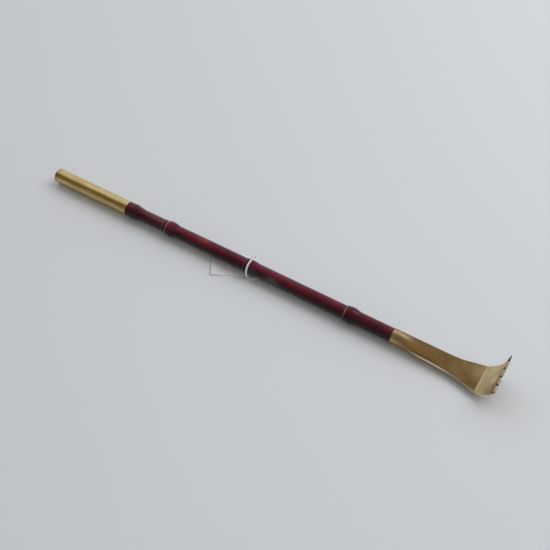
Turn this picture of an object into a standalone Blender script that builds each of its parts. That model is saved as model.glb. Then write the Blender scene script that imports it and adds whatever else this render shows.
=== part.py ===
"""Brass and bamboo back scratcher, lying teeth up, with a tied paper swing tag.

+X runs along the shaft towards the toothed head and +Z is up. z = 0 is the surface that the
object lies on, and the origin is below the middle of its length. Lengths are in metres.
Stations along the shaft are measured from the flat rear end of the cap.
"""

import math

import bmesh
import bpy
import numpy as np
from mathutils import Vector

# Driving dimensions
TUBE_RADIUS = 0.0070  # outside of the brass tube that both ends are made from
TUBE_WALL = 0.0008
CAP_LENGTH = 0.0880
BAMBOO_LENGTH = 0.2910  # the stretch that shows between the cap and the head
FLAT_LENGTH = 0.0866  # from the head's mouth to its crease
LIP_RADIUS = 0.0240  # the middle of the curled lip's sheet
LIP_START = math.radians(20)  # slope just past the crease
LIP_END = math.radians(89)  # slope at the tips of the teeth
LIP_YAW = 0.045  # bent by hand, the lip is a little out of square with the shaft
LIP_ROLL = 0.028
LIP_TWIST_LENGTH = 0.006  # along the sheet from the crease until it is all there
SHEET = 0.0022  # the flattened tube, two walls thick
TOOTH_DEPTH = 0.0060
GAP = 0.0003  # left between pieces that touch

# The shaft's axis lies as high as its thickest node, which carries it
AXIS_HEIGHT = 0.0080

CAP_END = 0.0
BAMBOO_START = CAP_LENGTH
HEAD_START = BAMBOO_START + BAMBOO_LENGTH
CREASE = HEAD_START + FLAT_LENGTH
CREASE_HEIGHT = 0.0055  # of the sheet's middle
OUTERMOST_TOOTH = 0.0146  # how far its tip is from the middle
LIP_REACH = (
    LIP_RADIUS * (math.sin(LIP_END) - math.sin(LIP_START)) + SHEET / 2 + OUTERMOST_TOOTH * LIP_YAW
)
TOTAL_LENGTH = CREASE + LIP_REACH

# Cap
DISC_THICKNESS = 0.0015
DISC_ROUNDING = 0.0010
SPIGOT_LENGTH = 0.0030

# Bamboo: the radius of its internodes at stations from the cap, and its nodes, each with the
# station of its sheath scar, the station of its ridge and the ridge's radius and half length
INTERNODE_RADIUS = ((0.000, 0.0061), (0.027, 0.0061), (0.099, 0.0065), (0.291, 0.00675))
NODES = (
    (0.0010, 0.0060, 0.0079, 0.0140),
    (0.0430, 0.0508, 0.0076, 0.0085),
    (0.1370, 0.1417, 0.0073, 0.0075),
    (0.2438, 0.2486, 0.0080, 0.0085),
)
SCAR_HEIGHT = 0.00035
SCAR_HALF_LENGTH = 0.0012
TENON_RADIUS = TUBE_RADIUS - TUBE_WALL - GAP
REAR_TENON = 0.0300
FRONT_TENON = 0.0120
TENON_CHAMFER = 0.0010
PITH_RADIUS = 0.0012
PITH_DEPTH = 0.0080

# Head: stations from its mouth, each with half width, half height, the height of its middle
# and how flat its section is, from 0 for round to 1 for a sheet
HEAD_SECTIONS = (
    (0.0000, 0.00700, 0.00700, 0.0080, 0.00),
    (0.0090, 0.00700, 0.00700, 0.0080, 0.00),
    (0.0160, 0.00730, 0.00650, 0.0077, 0.05),
    (0.0270, 0.00790, 0.00540, 0.0072, 0.20),
    (0.0410, 0.00830, 0.00360, 0.0066, 0.50),
    (0.0520, 0.00900, 0.00210, 0.0062, 0.85),
    (0.0650, 0.01050, 0.00120, 0.0059, 1.00),
    (0.0760, 0.01310, 0.00110, 0.0057, 1.00),
    (0.0866, 0.01560, 0.00110, 0.0055, 1.00),
)
CAVITY_END = 0.0490  # where the flattened tube's walls meet
CAVITY_SLIT = 0.0001
LIP_HALF_WIDTHS = ((0.000, 0.0156), (0.004, 0.0164), (0.012, 0.0174), (0.020, 0.0187), (0.029, 0.0212))
# The V cuts between the teeth, as shares of the half width, and the teeth's tips between them
CUTS = (-0.92, -0.46, 0.0, 0.46, 0.92)
TIPS = (-0.99, -0.69, -0.23, 0.23, 0.69, 0.99)
COLUMNS_BETWEEN = 2

# Swing tag: its corner under the string is the far one, and its width runs back under the shaft
TAG_LENGTH = 0.0425
TAG_WIDTH = 0.0240
TAG_THICKNESS = 0.00035
TAG_CORNER = (BAMBOO_START + 0.1103, -0.0229)
TAG_TURN = math.radians(30.4)
TAG_CLIP = 0.0040
TAG_HOLE_RADIUS = 0.0018
TAG_HOLE_INSET = 0.0050
TAG_LIFT = 0.00115  # behind the shaft, where the string runs under it
TAG_RISE = (0.0025, 0.0060)  # the y between which it rises to that, and comes down again
TAG_FALL = (0.0095, 0.0150)

# String: its own knot behind the shaft, and its way over the shaft, down its front, under it,
# up through the tag's hole and back. Stations, y and z.
STRING_DIAMETER = 0.0009
KNOT_RADIUS = 0.0017
KNOT = (BAMBOO_START + 0.1408, 0.0088, 0.0132)
STRING_ROUTE = (
    (0.1409, 0.0072, 0.0146),
    (0.1411, 0.0048, 0.0156),
    (0.1411, 0.0018, 0.0162),
    (0.1411, -0.0015, 0.0161),
    (0.1411, -0.0048, 0.0147),
    (0.1412, -0.0072, 0.0119),
    (0.1415, -0.0083, 0.0083),
    (0.1424, -0.0087, 0.0047),
    (0.1443, -0.0083, 0.0020),
    (0.1468, -0.0066, 0.0006),
    (0.1494, -0.0035, 0.00048),
    (0.1507, 0.0004, 0.00046),
    (0.1495, 0.0043, 0.00046),
    (0.1458, 0.0067, 0.00048),
    (0.1414, 0.0073, 0.00050),
    (0.1382, 0.0070, 0.00065),
    (0.1366, 0.0067, 0.0019),
    (0.1362, 0.0076, 0.0045),
    (0.1367, 0.0089, 0.0074),
    (0.1383, 0.0096, 0.0101),
    (0.1395, 0.0094, 0.0117),
)
STRING_POINTS = 64

ROUND = 40  # sides of the turned pieces


def place(station, y, z):
    """A point in the object's frame from its station along the shaft."""
    return Vector((station - TOTAL_LENGTH / 2, y, z))


def clear_scene():
    for found in list(bpy.data.objects):
        bpy.data.objects.remove(found)


def material(name, colour, roughness, metallic):
    made = bpy.data.materials.new(name)
    made.use_nodes = True
    shader = made.node_tree.nodes["Principled BSDF"]
    shader.inputs["Base Color"].default_value = (*colour, 1.0)
    shader.inputs["Roughness"].default_value = roughness
    shader.inputs["Metallic"].default_value = metallic
    return made


def make_object(name, mesh_maker, finish):
    """An object whose mesh is closed, faces outwards and is shaded smooth between its edges."""
    mesh = bpy.data.meshes.new(name)
    bmesh.ops.recalc_face_normals(mesh_maker, faces=mesh_maker.faces)
    mesh_maker.to_mesh(mesh)
    mesh_maker.free()
    mesh.shade_smooth()
    mesh.set_sharp_from_angle(angle=math.radians(35))
    mesh.materials.append(finish)
    made = bpy.data.objects.new(name, mesh)
    bpy.context.scene.collection.objects.link(made)
    return made


def turned(name, profile, finish):
    """A piece turned about the shaft's axis from (station, radius) points.

    A profile that starts and ends on the axis makes a solid, and a closed one makes a ring.
    """
    maker = bmesh.new()
    points = [maker.verts.new(place(s, 0, AXIS_HEIGHT + r)) for s, r in profile]
    edges = [maker.edges.new(pair) for pair in zip(points, points[1:])]
    if profile[0][1] > 0:
        edges.append(maker.edges.new((points[-1], points[0])))
    bmesh.ops.spin(
        maker,
        geom=points + edges,
        cent=place(0, 0, AXIS_HEIGHT),
        axis=(1, 0, 0),
        angle=2 * math.pi,
        steps=ROUND,
    )
    bmesh.ops.remove_doubles(maker, verts=maker.verts, dist=1e-6)
    return make_object(name, maker, finish)


def smooth(table, column, at):
    """A column of a table of stations, read between its rows along a smooth curve."""
    stations = np.array([row[0] for row in table])
    values = np.array([row[column] for row in table])
    slopes = np.gradient(values, stations)
    i = int(np.clip(np.searchsorted(stations, at) - 1, 0, len(stations) - 2))
    step = stations[i + 1] - stations[i]
    t = (np.clip(at, stations[0], stations[-1]) - stations[i]) / step
    return float(
        values[i] * (1 + 2 * t) * (1 - t) ** 2
        + slopes[i] * step * t * (1 - t) ** 2
        + values[i + 1] * t * t * (3 - 2 * t)
        + slopes[i + 1] * step * t * t * (t - 1)
    )


def bamboo_radius(at):
    """The shaft's radius at a distance from the cap: internode, nodal ridges and scars."""
    stations, radii = zip(*INTERNODE_RADIUS)
    plain = np.interp(at, stations, radii)
    radius = plain
    for scar, ridge, ridge_radius, half_length in NODES:
        away = min(1.0, abs(at - ridge) / half_length)
        radius = max(radius, plain + (ridge_radius - plain) * (0.5 + 0.5 * math.cos(math.pi * away)) ** 0.8)
        beside = abs(at - scar) / SCAR_HALF_LENGTH
        if beside < 1:
            radius += SCAR_HEIGHT * (1 - beside)
    return radius


def bamboo_stations():
    """Distances from the cap for the shaft's rings: close together at the nodes, far apart between them."""
    stations = {0.0, BAMBOO_LENGTH}
    for scar, ridge, _, half_length in NODES:
        stations.update(scar + k * SCAR_HALF_LENGTH for k in (-1, 0, 1))
        stations.update(ridge + k * half_length for k in (-1, -0.6, -0.3, 0, 0.3, 0.6, 1))
    stations.update(s for s, _ in INTERNODE_RADIUS)
    stations = sorted(s for s in stations if 0 <= s <= BAMBOO_LENGTH)
    kept = [stations[0]]
    for s in stations[1:]:
        if s - kept[-1] > 0.0006:
            kept.append(s)
    return kept


def make_bamboo(finish):
    """The shaft in one piece, with a tenon turned on each end and the pith drilled at both."""
    rear = BAMBOO_START - REAR_TENON
    front = HEAD_START + FRONT_TENON
    profile = [
        (rear + PITH_DEPTH, 0.0),
        (rear + PITH_DEPTH, PITH_RADIUS),
        (rear, PITH_RADIUS),
        (rear, TENON_RADIUS - TENON_CHAMFER),
        (rear + TENON_CHAMFER, TENON_RADIUS),
        (BAMBOO_START, TENON_RADIUS),
    ]
    profile += [(BAMBOO_START + s, bamboo_radius(s)) for s in bamboo_stations()]
    profile += [
        (HEAD_START, TENON_RADIUS),
        (front - TENON_CHAMFER, TENON_RADIUS),
        (front, TENON_RADIUS - TENON_CHAMFER),
        (front, PITH_RADIUS),
        (front - PITH_DEPTH, PITH_RADIUS),
        (front - PITH_DEPTH, 0.0),
    ]
    return turned("bamboo_shaft", profile, finish)


def make_cap(finish):
    """The tube over the rear tenon, and the disc with a spigot that closes its end."""
    inner = TUBE_RADIUS - TUBE_WALL
    start = DISC_THICKNESS + GAP
    end = CAP_LENGTH - GAP
    turned(
        "cap_tube",
        [(start, TUBE_RADIUS), (end, TUBE_RADIUS), (end, inner), (start, inner)],
        finish,
    )
    rounding = [
        (DISC_ROUNDING * (1 - math.sin(a)), TUBE_RADIUS - DISC_ROUNDING * (1 - math.cos(a)))
        for a in np.linspace(math.pi / 2, 0, 5)
    ]
    turned(
        "cap_end_disc",
        [
            (CAP_END, 0.0),
            *rounding,
            (DISC_THICKNESS, TUBE_RADIUS),
            (DISC_THICKNESS, inner - GAP),
            (DISC_THICKNESS + SPIGOT_LENGTH, inner - GAP),
            (DISC_THICKNESS + SPIGOT_LENGTH, 0.0),
        ],
        finish,
    )


def head_columns():
    """Shares of the half width where the head's mesh has its columns, with every cut and tip among them."""
    marks = sorted(CUTS + TIPS)
    columns = [-1.0]
    for a, b in zip(marks, marks[1:]):
        columns += [a + (b - a) * k / COLUMNS_BETWEEN for k in range(COLUMNS_BETWEEN)]
    return columns + [marks[-1], 1.0]


def section_point(share, side, half_width, half_height, flatness):
    """A point of the head's section, from its middle: share runs across it, and side is 1 on top."""
    angle = share * math.pi / 2
    edge = min(1.0, math.sqrt(max(0.0, (1 - abs(share)) / 0.07)))
    across = half_width * ((1 - flatness) * math.sin(angle) + flatness * share)
    up = half_height * ((1 - flatness) * math.cos(angle) + flatness * edge)
    return across, side * up


def lip_point(along, across, off):
    """A point of the lip: distance along its sheet from the crease, across it, and off its middle."""
    angle = LIP_START + along / LIP_RADIUS
    reach = LIP_RADIUS * (math.sin(angle) - math.sin(LIP_START))
    rise = LIP_RADIUS * (math.cos(LIP_START) - math.cos(angle))
    twist = across * min(1.0, along / LIP_TWIST_LENGTH)
    return place(
        CREASE + reach - off * math.sin(angle) - twist * LIP_YAW,
        across,
        CREASE_HEIGHT + rise + off * math.cos(angle) + twist * LIP_ROLL,
    )


def tooth_edge(share):
    """How far along the lip its toothed edge is, at a share of its half width."""
    full = LIP_RADIUS * (LIP_END - LIP_START)
    marks = sorted([(c, full - TOOTH_DEPTH) for c in CUTS] + [(t, full) for t in TIPS])
    shares, edges = zip(*marks)
    return float(np.interp(share, shares, edges))


def head_rings(columns, wall=0.0):
    """Rings of points along the round socket and the flattened tube, each from edge to edge on top and back below."""
    last = CAVITY_END if wall else FLAT_LENGTH
    first = GAP
    rings = []
    for at in [first, 0.006, *np.arange(0.010, last - 0.002, 0.004), last]:
        half_width, half_height, middle, flatness = (smooth(HEAD_SECTIONS, k, at) for k in range(1, 5))
        half_width -= wall
        half_height = max(half_height - wall, CAVITY_SLIT)
        if wall and at == last:
            half_height = CAVITY_SLIT
        ring = [section_point(c, 1, half_width, half_height, flatness) for c in columns]
        ring += [section_point(c, -1, half_width, half_height, flatness) for c in columns[-2:0:-1]]
        rings.append([place(HEAD_START + at, y, middle + z) for y, z in ring])
    return rings


def lip_rings(columns, count=9):
    """Rings of points along the lip, the last of them on the teeth's edges."""
    rings = []
    for k in range(1, count + 1):
        ring = []
        for side, shares in ((1, columns), (-1, columns[-2:0:-1])):
            for share in shares:
                along = tooth_edge(share) * k / count
                half_width = smooth(LIP_HALF_WIDTHS, 1, along)
                across, off = section_point(share, side, half_width, SHEET / 2, 1.0)
                ring.append(lip_point(along, across, off))
        rings.append(ring)
    return rings


def skin(maker, rings):
    """Quads from ring to ring. Returns the rings as vertices."""
    rows = [[maker.verts.new(p) for p in ring] for ring in rings]
    for a, b in zip(rows, rows[1:]):
        for i in range(len(a)):
            j = (i + 1) % len(a)
            maker.faces.new((a[i], a[j], b[j], b[i]))
    return rows


def close_flat(maker, ring):
    """Closes a ring of a section with faces from its upper to its lower points."""
    count = len(ring)
    for i in range(count // 2):
        corners = (ring[i], ring[i + 1], ring[(count - i - 1) % count], ring[(count - i) % count])
        maker.faces.new(tuple(dict.fromkeys(corners)))


def make_head(finish):
    """The scratcher's head: a tube with a round mouth, flattened, fanned out, creased and curled up into teeth."""
    columns = head_columns()
    maker = bmesh.new()
    outside = skin(maker, head_rings(columns) + lip_rings(columns))
    inside = skin(maker, head_rings(columns, TUBE_WALL))
    close_flat(maker, outside[-1])
    close_flat(maker, inside[-1])
    mouth = len(columns) * 2 - 2
    for i in range(mouth):
        j = (i + 1) % mouth
        maker.faces.new((outside[0][i], outside[0][j], inside[0][j], inside[0][i]))
    return make_object("scratcher_head", maker, finish)


def eased(value, start, end):
    """From 0 at the start to 1 at the end, level at both."""
    t = min(1.0, max(0.0, (value - start) / (end - start)))
    return t * t * (3 - 2 * t)


def tag_height(y):
    """How high the tag's underside is: on the table, but for a low hump over the string behind the shaft."""
    return TAG_LIFT * (eased(y, *TAG_RISE) - eased(y, *TAG_FALL))


def make_tag(finish):
    """The blank card tag, clipped at two corners, with a hole for the string."""
    maker = bmesh.new()
    rows, columns = 12, 10
    along = Vector((math.cos(TAG_TURN), math.sin(TAG_TURN)))
    back = Vector((-math.sin(TAG_TURN), math.cos(TAG_TURN)))
    corner = Vector(TAG_CORNER)
    grid = []
    for i in range(rows + 1):
        across = TAG_WIDTH * i / rows
        clip = max(0.0, TAG_CLIP - across, TAG_CLIP - (TAG_WIDTH - across))
        line = []
        for j in range(columns + 1):
            at = corner + along * ((TAG_LENGTH - clip) * j / columns) + back * across
            line.append(maker.verts.new(place(at.x, at.y, tag_height(at.y))))
        grid.append(line)
    for a, b in zip(grid, grid[1:]):
        for j in range(columns):
            maker.faces.new((a[j], a[j + 1], b[j + 1], b[j]))
    made = make_object("swing_tag", maker, finish)
    solidify = made.modifiers.new("thickness", "SOLIDIFY")
    solidify.thickness = TAG_THICKNESS
    solidify.offset = -1.0  # upwards, because the sheet's faces look down
    hole_at = corner + along * (TAG_LENGTH - TAG_HOLE_INSET) + back * (TAG_WIDTH / 2)
    cutter_maker = bmesh.new()
    bmesh.ops.create_cone(
        cutter_maker,
        cap_ends=True,
        segments=16,
        radius1=TAG_HOLE_RADIUS,
        radius2=TAG_HOLE_RADIUS,
        depth=0.01,
    )
    cutter = make_object("tag_hole_cutter", cutter_maker, finish)
    cutter.location = place(hole_at.x, hole_at.y, tag_height(hole_at.y))
    cutter.hide_render = True
    cutter.display_type = "WIRE"
    cut = made.modifiers.new("hole", "BOOLEAN")
    cut.operation = "DIFFERENCE"
    cut.object = cutter
    return made


def smooth_route(points, count):
    """Evenly spaced points on a smooth curve through the given ones."""
    knots = [Vector(p) for p in points]
    ends = [knots[0] * 2 - knots[1], *knots, knots[-1] * 2 - knots[-2]]
    fine = []
    for p0, p1, p2, p3 in zip(ends, ends[1:], ends[2:], ends[3:]):
        for t in np.linspace(0, 1, 16, endpoint=False):
            fine.append(
                0.5 * (2 * p1 + (p2 - p0) * t + (2 * p0 - 5 * p1 + 4 * p2 - p3) * t**2
                       + (3 * p1 - p0 - 3 * p2 + p3) * t**3)
            )
    fine.append(knots[-1])
    steps = [0.0]
    for a, b in zip(fine, fine[1:]):
        steps.append(steps[-1] + (b - a).length)
    at = np.linspace(0, steps[-1], count)
    return [Vector([float(np.interp(s, steps, [p[k] for p in fine])) for k in range(3)]) for s in at]


def make_string(finish):
    """The cotton string tied round the shaft and through the tag's hole, and its knot."""
    route = [place(BAMBOO_START + s, y, z) for s, y, z in STRING_ROUTE]
    points = smooth_route(route, STRING_POINTS)
    curve = bpy.data.curves.new("tag_string", "CURVE")
    curve.dimensions = "3D"
    curve.bevel_depth = STRING_DIAMETER / 2
    curve.bevel_resolution = 2
    curve.use_fill_caps = True
    spline = curve.splines.new("POLY")
    spline.points.add(len(points) - 1)
    for point, at in zip(spline.points, points):
        point.co = (*at, 1.0)
    curve.materials.append(finish)
    string = bpy.data.objects.new("tag_string", curve)
    bpy.context.scene.collection.objects.link(string)
    maker = bmesh.new()
    bmesh.ops.create_icosphere(maker, subdivisions=2, radius=KNOT_RADIUS)
    bmesh.ops.translate(maker, verts=maker.verts, vec=place(*KNOT))
    make_object("string_knot", maker, finish)
    return string


def main():
    clear_scene()
    polished_brass = material("polished_brass", (0.78, 0.57, 0.24), 0.22, 1.0)
    worn_brass = material("worn_brass", (0.66, 0.50, 0.28), 0.32, 1.0)
    red_lacquer = material("red_lacquered_bamboo", (0.17, 0.012, 0.022), 0.18, 0.0)
    card = material("white_card", (0.86, 0.86, 0.88), 0.70, 0.0)
    cotton = material("white_cotton", (0.90, 0.89, 0.88), 0.80, 0.0)
    make_cap(polished_brass)
    make_bamboo(red_lacquer)
    make_head(worn_brass)
    make_tag(card)
    make_string(cotton)


main()
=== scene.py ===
import math

import bmesh
import bpy
import numpy as np
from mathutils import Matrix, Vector, noise


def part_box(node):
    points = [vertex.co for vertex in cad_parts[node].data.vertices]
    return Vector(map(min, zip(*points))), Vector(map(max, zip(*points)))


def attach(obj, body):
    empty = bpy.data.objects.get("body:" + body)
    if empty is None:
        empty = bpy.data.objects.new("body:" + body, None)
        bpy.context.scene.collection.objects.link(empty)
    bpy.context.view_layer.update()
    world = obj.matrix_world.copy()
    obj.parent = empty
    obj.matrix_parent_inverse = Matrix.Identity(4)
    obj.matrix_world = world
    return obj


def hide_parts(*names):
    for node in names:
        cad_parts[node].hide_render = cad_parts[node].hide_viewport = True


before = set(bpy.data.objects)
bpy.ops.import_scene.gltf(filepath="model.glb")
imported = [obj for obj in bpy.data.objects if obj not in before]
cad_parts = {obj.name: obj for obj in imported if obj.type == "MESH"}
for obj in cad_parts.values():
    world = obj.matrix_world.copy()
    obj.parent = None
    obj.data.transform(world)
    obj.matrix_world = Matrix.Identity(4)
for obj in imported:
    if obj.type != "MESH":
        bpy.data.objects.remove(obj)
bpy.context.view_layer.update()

# The looks of a brass and bamboo back scratcher that lies teeth up. Lengths are in metres, +X runs
# from the cap to the toothed head, and the floor is z = 0. Stations are measured from the cap's end.

REAR_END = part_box("cap_end_disc")[0].x
AXIS_HEIGHT = (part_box("cap_tube")[0].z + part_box("cap_tube")[1].z) / 2
TUBE_RADIUS = (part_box("cap_tube")[1].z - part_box("cap_tube")[0].z) / 2
GAP = 0.0003  # what the CAD model leaves between pieces that touch

# Camera and light
AIM = Vector((0.0123, 0.0038, AXIS_HEIGHT))
CAMERA_DISTANCE = 0.9353
CAMERA_AZIMUTH = math.radians(31.137)
CAMERA_ELEVATION = math.radians(52.5)
SENSOR = 36.0
LENS = 65.4545
KEY_DIRECTION = Vector((0.48, 0.72, 0.95))
KEY_DISTANCE = 2.2
KEY_SIZE = 1.8
KEY_POWER = 19.8
KEY_COLOUR = (0.97, 0.98, 1.0)
ROOM = (0.282, 0.267, 0.246)
SHADE = (0.19, 0.155, 0.105)
SHADE_DIRECTION = Vector((-0.50, -0.52, 0.69))
SHADE_EDGES = (0.90, 0.985)  # cosines from its middle between which it fades in
WINDOW = (0.90, 0.95, 1.03)
WINDOW_DIRECTION = Vector((-0.75, 0.55, 0.35))
WINDOW_EDGES = (0.45, 0.90)
FLOOR_SIZE = 40.0

# Cap
WALL = 0.0008
CAP_LENGTH = 0.0880
DISC_THICKNESS = 0.0015
DISC_ROUNDING = 0.0010
SPIGOT_LENGTH = 0.0030
RIM = 0.00015  # how far a turned edge is broken

# Bamboo, as the CAD model has it, with stations from its start: (station, radius) of the
# internodes, and each node's scar, ridge, ridge radius and half length
BAMBOO_START = CAP_LENGTH
BAMBOO_LENGTH = 0.2910
INTERNODE_RADIUS = ((0.000, 0.0061), (0.027, 0.0061), (0.099, 0.0065), (0.291, 0.00675))
NODES = (
    (0.0010, 0.0060, 0.0079, 0.0140),
    (0.0430, 0.0508, 0.0076, 0.0085),
    (0.1370, 0.1417, 0.0073, 0.0075),
    (0.2438, 0.2486, 0.0080, 0.0085),
)
SCAR_HEIGHT = 0.00035
SCAR_HALF_LENGTH = 0.0012
TENON_RADIUS = TUBE_RADIUS - WALL - GAP
REAR_TENON = 0.0300
FRONT_TENON = 0.0120
TENON_CHAMFER = 0.0010
PITH_RADIUS = 0.0012
PITH_DEPTH = 0.0080

# Marks on the bamboo, with stations from the cap's end: where each is, how strong it is and, for
# stretches, how long. Angles round the shaft are from its top, and the near side's are negative.
# Painted highlights: pale rings on the sheath scars, brightest on top
SCAR_HIGHLIGHTS = ((0.1310, 0.30), (0.1352, 0.85), (0.2250, 0.08), (0.3318, 1.00))
SCAR_HIGHLIGHT_WIDTH = 0.00034
SCAR_HIGHLIGHT_ANGLE = -0.30
# Painted shade in rings beside the scars
DARK_RINGS = ((0.1332, 0.65), (0.2266, 0.80), (0.3338, 0.50))
DARK_RING_WIDTH = 0.0012
DARK_STRETCHES = ((0.104, 0.42, 0.014), (0.212, 0.32, 0.012), (0.345, 0.50, 0.022))
GLOWS = ((0.177, 0.9, 0.006), (0.350, 0.3, 0.010))
SCUFFS = ((0.256, 1.0, 0.008), (0.232, 0.5, 0.005))
SCUFF_ANGLE = 2 * math.pi - 1.15  # low on the near side
# Painted reflections: greyish streaks along the top of the first internode, and a patch past the second
# node
SHEEN_STARTS = (0.099, 0.104)
SHEEN_ENDS = (0.127, 0.131)
SHEEN_PATCH = (0.147, 0.006)
RED_UP = 0.94  # painted shade: the lacquer is reddest where the shaft faces up and a little back, towards the light, and painted near black away from it
RED_BACK = 0.34
RED_RADIUS = 0.0065
COLLAR = (0.0925, 0.0055)  # the rear node narrows to the cap: its deepest station and its length
SHOULDER = (0.0970, 0.0984, 0.1110)  # and steps down after it: start, deepest and end
STEP_DEPTH = 0.00045
GROOVE = (0.1341, 0.0011)  # before the second node's ridge
GROOVE_DEPTH = 0.00030

# Head
HEAD_START = BAMBOO_START + BAMBOO_LENGTH
FLAT_LENGTH = 0.0866
CREASE = HEAD_START + FLAT_LENGTH
CREASE_HEIGHT = 0.0055
LIP_RADIUS = 0.0240
LIP_START = math.radians(20)
LIP_END = math.radians(89)
LIP_YAW = 0.045  # the lip was bent by hand: how far it is out of square, and leans
LIP_ROLL = 0.028
LIP_TWIST_LENGTH = 0.006
SHEET = 0.0022
TOOTH_DEPTH = 0.0060
# Sections from the head's mouth: distance, half width, half height, height of the middle, flatness
HEAD_SECTIONS = (
    (0.0000, 0.00700, 0.00700, 0.0080, 0.00),
    (0.0090, 0.00700, 0.00700, 0.0080, 0.00),
    (0.0160, 0.00730, 0.00650, 0.0077, 0.05),
    (0.0270, 0.00790, 0.00540, 0.0072, 0.20),
    (0.0410, 0.00830, 0.00360, 0.0066, 0.50),
    (0.0520, 0.00900, 0.00210, 0.0062, 0.85),
    (0.0650, 0.01050, 0.00120, 0.0059, 1.00),
    (0.0760, 0.01310, 0.00110, 0.0057, 1.00),
    (0.0866, 0.01560, 0.00110, 0.0055, 1.00),
)
CAVITY_START = 0.0040
CAVITY_END = 0.0490
CAVITY_SLIT = 0.0001
# Half widths at distances from the crease, and the teeth's cuts and tips at shares of them
LIP_HALF_WIDTHS = ((0.000, 0.0156), (0.004, 0.0164), (0.012, 0.0174), (0.020, 0.0187), (0.029, 0.0212))
CUTS = (-0.92, -0.46, 0.0, 0.46, 0.92)
TIPS = (-0.99, -0.69, -0.23, 0.23, 0.69, 0.99)
FOLD_SHARE = 0.07  # the share of the half width over which the sheet's folded edge is round
FOLD_BRIGHT = 0.050  # and that over which the folds are painted bright, partly as wear and partly as highlight
LIP_LENGTH = LIP_RADIUS * (LIP_END - LIP_START)
BEVEL = 0.00018  # how far the teeth's edges are broken
BEAD_WIDTH = 0.0012
BEAD_HEIGHT = 0.00013

# Tag and string
TAG_LENGTH = 0.0425
TAG_WIDTH = 0.0240
TAG_THICKNESS = 0.00035
TAG_CORNER = (BAMBOO_START + 0.1103, -0.0229)
TAG_TURN = math.radians(30.4)
TAG_CLIP = 0.0040
TAG_HOLE_RADIUS = 0.0018
TAG_HOLE_INSET = 0.0050
TAG_LIFT = 0.00115  # the hump over the string, and where across the shaft it rises and falls
TAG_RISE = (0.0025, 0.0060)
TAG_FALL = (0.0095, 0.0150)
TAG_CURL = 0.0007  # the free end stands a little off the floor
EDGE_SHADOW_WIDTH = 0.00045  # the width of the painted shadow line along it
STRING_BODY = 0.00057  # the radius over its strands where it is pressed below the shaft
STRING_FULL = 0.00084  # the same where it hangs free
REST = 0.00002  # the least height of what lies on the floor
STRANDS = 3
TWIST_PITCH = 0.0034
KNOT = (BAMBOO_START + 0.1399, 0.0083, 0.0138)
KNOT_REACH = 0.00138  # how far its loops go from its middle
KNOT_BODY = 0.00080
KNOT_TAIL = 0.0004
# The string's middle line, with each station from the start of the bamboo: from the knot over the
# shaft, down its near side, under it, and up through the tag's hole to the knot again
STRING_ROUTE = (
    (0.1409, 0.0072, 0.0146),
    (0.1411, 0.0048, 0.0156),
    (0.1411, 0.0018, 0.0162),
    (0.1411, -0.0015, 0.0161),
    (0.1411, -0.0048, 0.0147),
    (0.1412, -0.0072, 0.0119),
    (0.1415, -0.0083, 0.0083),
    (0.1424, -0.0087, 0.0047),
    (0.1443, -0.0083, 0.0020),
    (0.1468, -0.0066, 0.0006),
    (0.1494, -0.0035, 0.00048),
    (0.1507, 0.0004, 0.00046),
    (0.1495, 0.0043, 0.00046),
    (0.1458, 0.0067, 0.00048),
    (0.1414, 0.0073, 0.00050),
    (0.1382, 0.0070, 0.00065),
    (0.1366, 0.0067, 0.0019),
    (0.1362, 0.0076, 0.0045),
    (0.1367, 0.0089, 0.0074),
    (0.1383, 0.0096, 0.0101),
    (0.1395, 0.0094, 0.0117),
)

AROUND = 112  # points in a turned ring
STRING_POINTS = 260
KNOT_POINTS = 72
KNOT_OPENS = 6  # the point of its loop where the knot's two ends come out


def place(station, y, z):
    """A point in the frame from its station along the shaft."""
    return Vector((REAR_END + station, y, z))


def eased(value, start, end):
    """From 0 at the start to 1 at the end, level at both."""
    t = min(1.0, max(0.0, (value - start) / (end - start)))
    return t * t * (3 - 2 * t)


def bell(value, middle, width):
    """1 at the middle, falling off smoothly over the width on both sides."""
    return math.exp(-(((value - middle) / width) ** 2))


# ---------------------------------------------------------------- camera, light and floor


def make_camera():
    direction = Vector(
        (
            math.sin(CAMERA_AZIMUTH) * math.cos(CAMERA_ELEVATION),
            -math.cos(CAMERA_AZIMUTH) * math.cos(CAMERA_ELEVATION),
            math.sin(CAMERA_ELEVATION),
        )
    )
    data = bpy.data.cameras.new("camera")
    data.sensor_width = SENSOR
    data.lens = LENS
    data.clip_start = 0.01
    data.clip_end = 100.0
    camera = bpy.data.objects.new("camera", data)
    camera.location = AIM + direction * CAMERA_DISTANCE
    camera.rotation_mode = "QUATERNION"
    camera.rotation_quaternion = (-direction).to_track_quat("-Z", "Y")
    bpy.context.scene.collection.objects.link(camera)
    bpy.context.scene.camera = camera


def make_key_light():
    data = bpy.data.lights.new("key", "AREA")
    data.shape = "DISK"
    data.size = KEY_SIZE
    data.energy = KEY_POWER
    data.color = KEY_COLOUR
    light = bpy.data.objects.new("key", data)
    direction = KEY_DIRECTION.normalized()
    light.location = AIM + direction * KEY_DISTANCE
    light.rotation_mode = "QUATERNION"
    light.rotation_quaternion = (-direction).to_track_quat("-Z", "Y")
    bpy.context.scene.collection.objects.link(light)


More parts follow.
